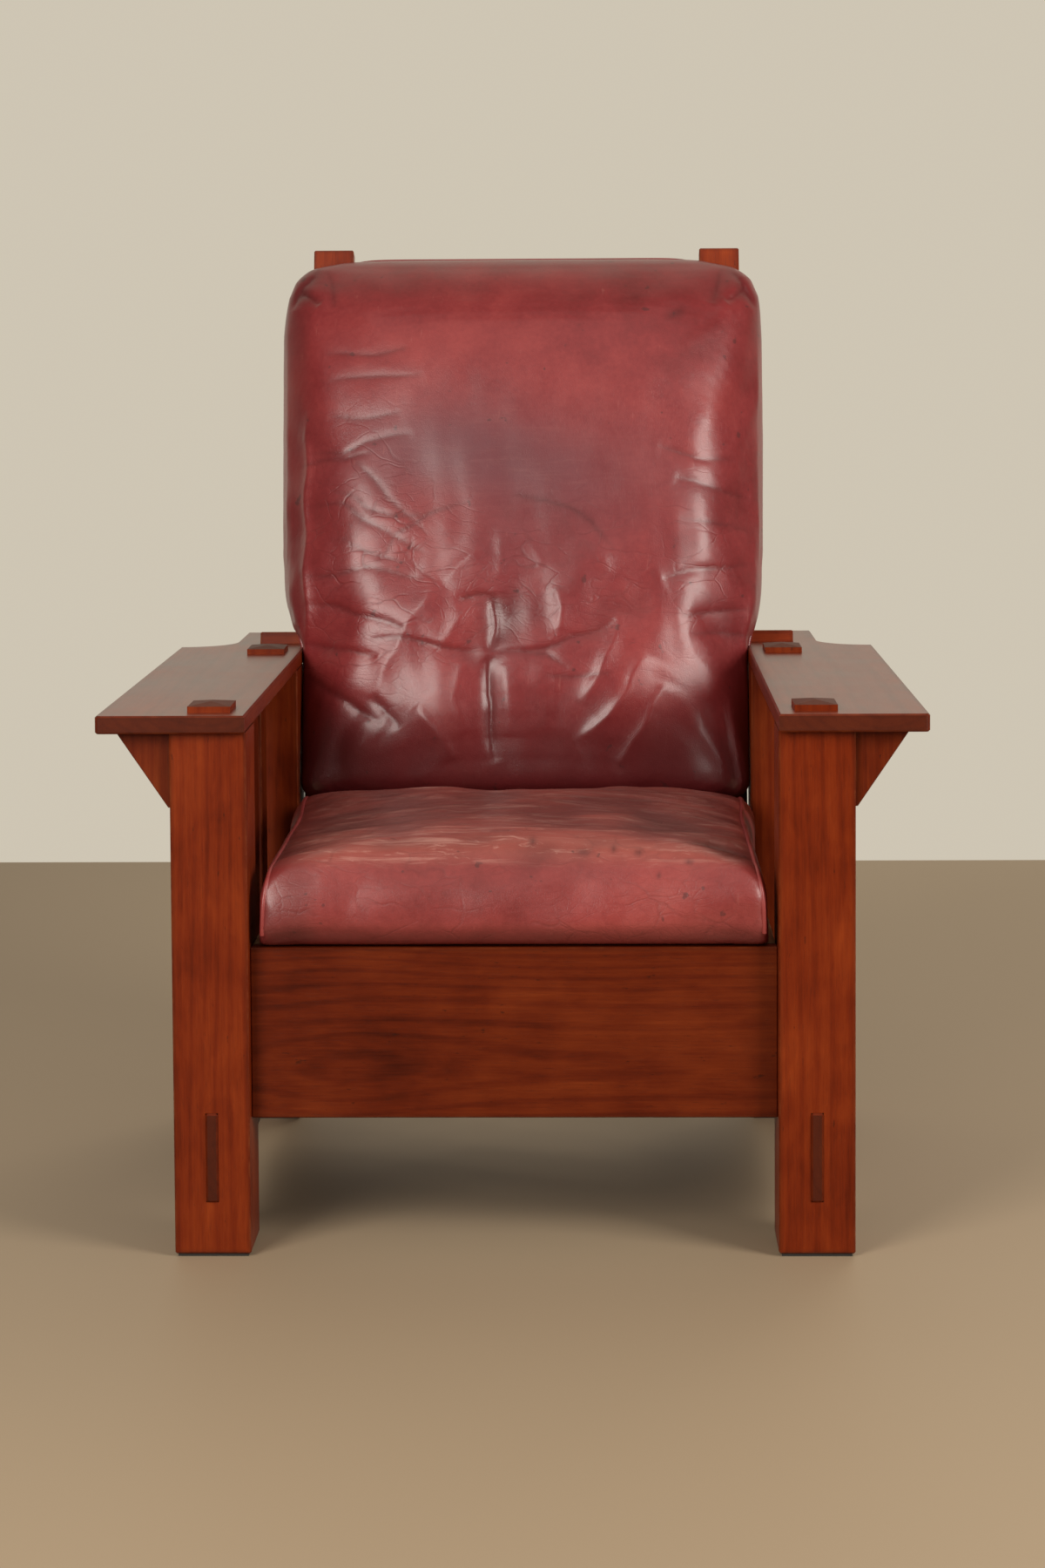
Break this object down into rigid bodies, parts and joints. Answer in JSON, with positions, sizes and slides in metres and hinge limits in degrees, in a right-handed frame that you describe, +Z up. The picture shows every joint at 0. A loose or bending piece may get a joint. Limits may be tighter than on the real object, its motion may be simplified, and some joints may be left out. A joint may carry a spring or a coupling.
{
  "type": "reclining armchair",
  "caption": "Slatted cherry armchair with wide flat arms, through tenons and corbels; its hinged back leans on a bar in arm notches; loose leather seat and back cushions.",
  "frame": {"origin": "on the floor, midway between the sides and between the front of the arms and the rearmost point of the back", "axes": "+X to the right as seen from the front, +Y from the front to the back, +Z up"},
  "size_m": [0.866, 0.9278, 1.0713],
  "materials": {
    "cherry": "red-brown satin finish, fine grain",
    "inner_wood": "plain, unstained",
    "seat_leather": "worn oxblood hide, scuffed on top",
    "back_leather": "creased oxblood hide, semi-gloss",
    "steel": "dull",
    "glide_pad": "matt"
  },
  "bodies": {
    "frame": {"arm_left": "cherry", "arm_right": "cherry", "front_apron": "cherry", "front_corbel_left": "cherry", "front_corbel_right": "cherry", "front_glide_left": "glide_pad", "front_glide_right": "glide_pad", "front_post_left": "cherry", "front_post_right": "cherry", "front_seat_cleat": "inner_wood", "pivot_pin_left": "steel", "pivot_pin_right": "steel", "pivot_washer_left": "steel", "pivot_washer_right": "steel", "rear_corbel_left": "cherry", "rear_corbel_right": "cherry", "rear_glide_left": "glide_pad", "rear_glide_right": "glide_pad", "rear_post_left": "cherry", "rear_post_right": "cherry", "rear_seat_cleat": "inner_wood", "rear_seat_rail": "cherry", "seat_frame_front": "inner_wood", "seat_frame_rear": "inner_wood", "seat_frame_side_left": "inner_wood", "seat_frame_side_right": "inner_wood", "seat_slat_1": "inner_wood", "seat_slat_2": "inner_wood", "seat_slat_3": "inner_wood", "seat_slat_4": "inner_wood", "seat_slat_5": "inner_wood", "side_slat_left_1": "cherry", "side_slat_left_2": "cherry", "side_slat_left_3": "cherry", "side_slat_left_4": "cherry", "side_slat_left_5": "cherry", "side_slat_right_1": "cherry", "side_slat_right_2": "cherry", "side_slat_right_3": "cherry", "side_slat_right_4": "cherry", "side_slat_right_5": "cherry", "side_stretcher_left": "cherry", "side_stretcher_right": "cherry"},
    "back": {"back_rung_1": "cherry", "back_rung_2": "cherry", "back_rung_3": "cherry", "back_rung_4": "cherry", "back_rung_5": "cherry", "back_rung_6": "cherry", "back_stile_left": "cherry", "back_stile_right": "cherry"},
    "support_bar": {"support_bar": "cherry"},
    "seat_cushion": {"seat_cushion": "seat_leather"},
    "back_cushion": {"back_cushion": "back_leather"}
  },
  "joints": [
    {"name": "back_tilt", "type": "hinge", "parent": "frame", "child": "back", "pos_m": [0, 0.20413, 0.305], "axis": [1, 0, 0], "range_deg": [0, 5]},
    {"name": "bar_lift", "type": "slide", "parent": "frame", "child": "support_bar", "axis": [0, 0.309, 0.9511], "range_m": [0, 0.06]},
    {"name": "seat_cushion_slide", "type": "slide", "parent": "frame", "child": "seat_cushion", "axis": [0, -1, 0], "range_m": [0, 0.2]},
    {"name": "back_cushion_lift", "type": "slide", "parent": "back", "child": "back_cushion", "axis": [0, 0.309, 0.9511], "range_m": [0, 0.12]}
  ]
}
